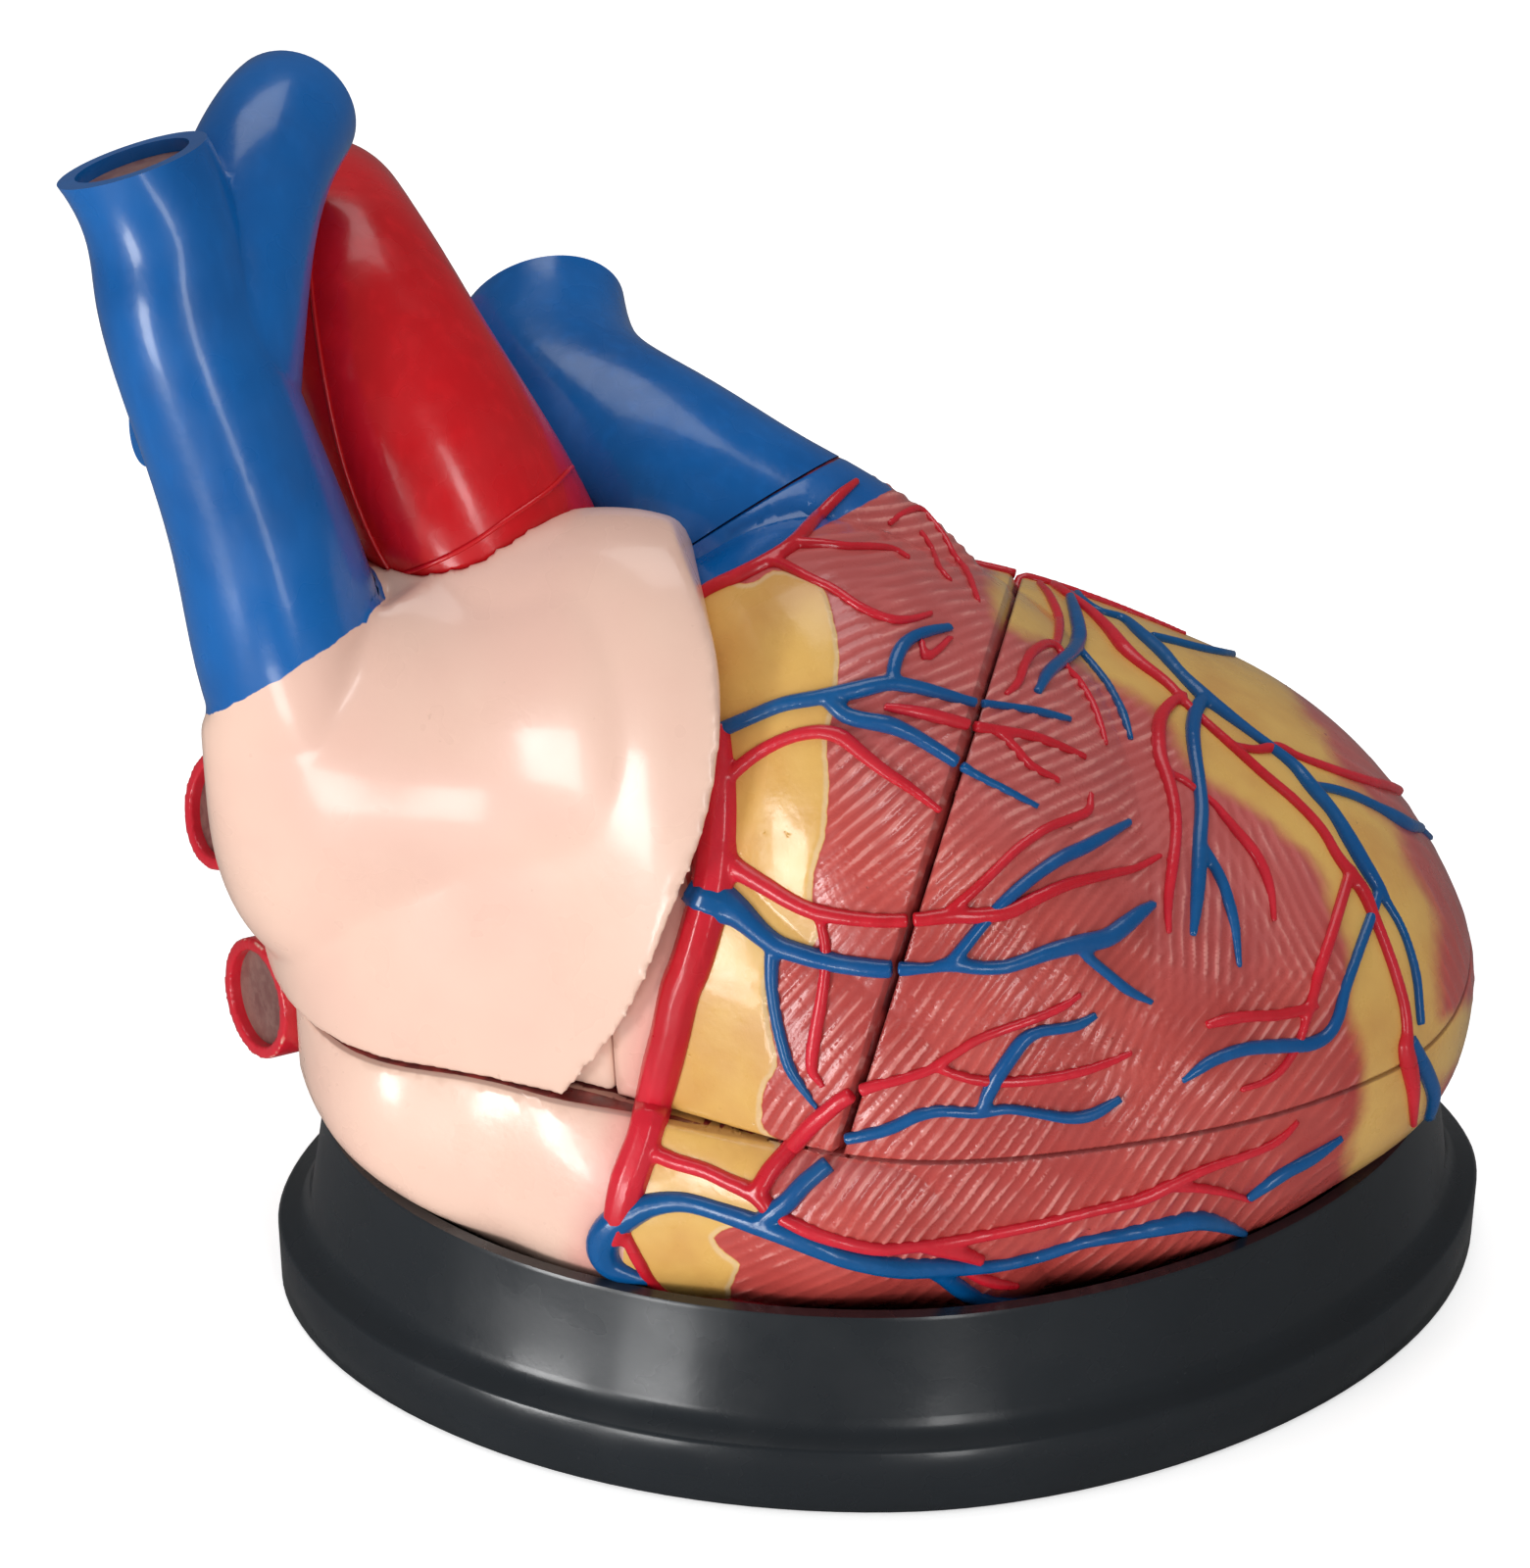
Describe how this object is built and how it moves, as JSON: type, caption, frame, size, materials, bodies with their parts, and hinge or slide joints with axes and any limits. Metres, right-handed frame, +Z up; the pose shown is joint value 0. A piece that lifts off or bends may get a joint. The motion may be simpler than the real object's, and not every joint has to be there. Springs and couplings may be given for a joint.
{
  "type": "human heart anatomy model",
  "caption": "Enlarged human heart model that comes apart for teaching: lower half with valves, ventricle lid, outflow piece and atria with great vessels, resting in an oval stand.",
  "frame": {"origin": "centre of the stand's flat underside", "axes": "+Z up, +X along the stand's long axis towards the apex of the heart, -Y towards the right side of the heart"},
  "size_m": [0.3312, 0.227, 0.3058],
  "materials": {
    "stand_black": "gloss, near-black",
    "foam_grey": "soft open foam, matt",
    "foot_rubber": "matt",
    "muscle_rose": "painted, semi-gloss",
    "atrium_peach": "painted, gloss",
    "artery_red": "painted, gloss",
    "vein_blue": "painted, gloss",
    "lumen_brown": "painted, matt",
    "valve_cream": "painted, satin",
    "papillary_red": "painted, satin",
    "pin_plastic": "moulded, satin",
    "magnet_nickel": "nickel plated",
    "dowel_steel": "ground"
  },
  "bodies": {
    "stand": {"stand": "stand_black", "cradle_pads": "foam_grey", "stand_feet": "foot_rubber"},
    "lower_heart": {"lower_heart": "muscle_rose", "lower_vein_stubs": "artery_red", "inferior_vena_cava": "vein_blue", "lower_lumen_discs": "lumen_brown", "tricuspid_leaflets": "valve_cream", "mitral_leaflets": "valve_cream", "tricuspid_papillary_muscles": "papillary_red", "mitral_papillary_muscles": "papillary_red", "tricuspid_chordae": "valve_cream", "mitral_chordae": "valve_cream", "locating_domes": "pin_plastic", "lower_magnets": "magnet_nickel"},
    "ventricle_lid": {"ventricle_lid": "muscle_rose", "lid_magnets": "magnet_nickel", "moderator_band": "papillary_red"},
    "outflow": {"outflow_shell": "muscle_rose", "outflow_magnets": "magnet_nickel", "outflow_dowels": "dowel_steel", "pulmonary_valve_cusps": "valve_cream"},
    "atrium_vessels": {"atrium_shell": "atrium_peach", "atrium_magnets": "magnet_nickel", "right_auricle": "atrium_peach", "superior_vena_cava": "vein_blue", "aorta": "artery_red", "arch_branches": "artery_red", "pulmonary_trunk": "vein_blue", "upper_vein_stubs": "artery_red", "upper_lumen_discs": "lumen_brown", "aortic_valve_cusps": "valve_cream"}
  },
  "joints": [
    {"name": "lift_heart", "type": "slide", "parent": "stand", "child": "lower_heart", "axis": [0, 0, 1], "range_m": [0, 0.12]},
    {"name": "lift_lid", "type": "slide", "parent": "lower_heart", "child": "ventricle_lid", "axis": [0.3489, 0, 0.9371], "range_m": [0, 0.12]},
    {"name": "lift_outflow", "type": "slide", "parent": "lower_heart", "child": "outflow", "axis": [0, 0, 1], "range_m": [0, 0.12]},
    {"name": "lift_atria", "type": "slide", "parent": "outflow", "child": "atrium_vessels", "axis": [-0.1997, 0.0499, 0.9786], "range_m": [0, 0.1]}
  ]
}
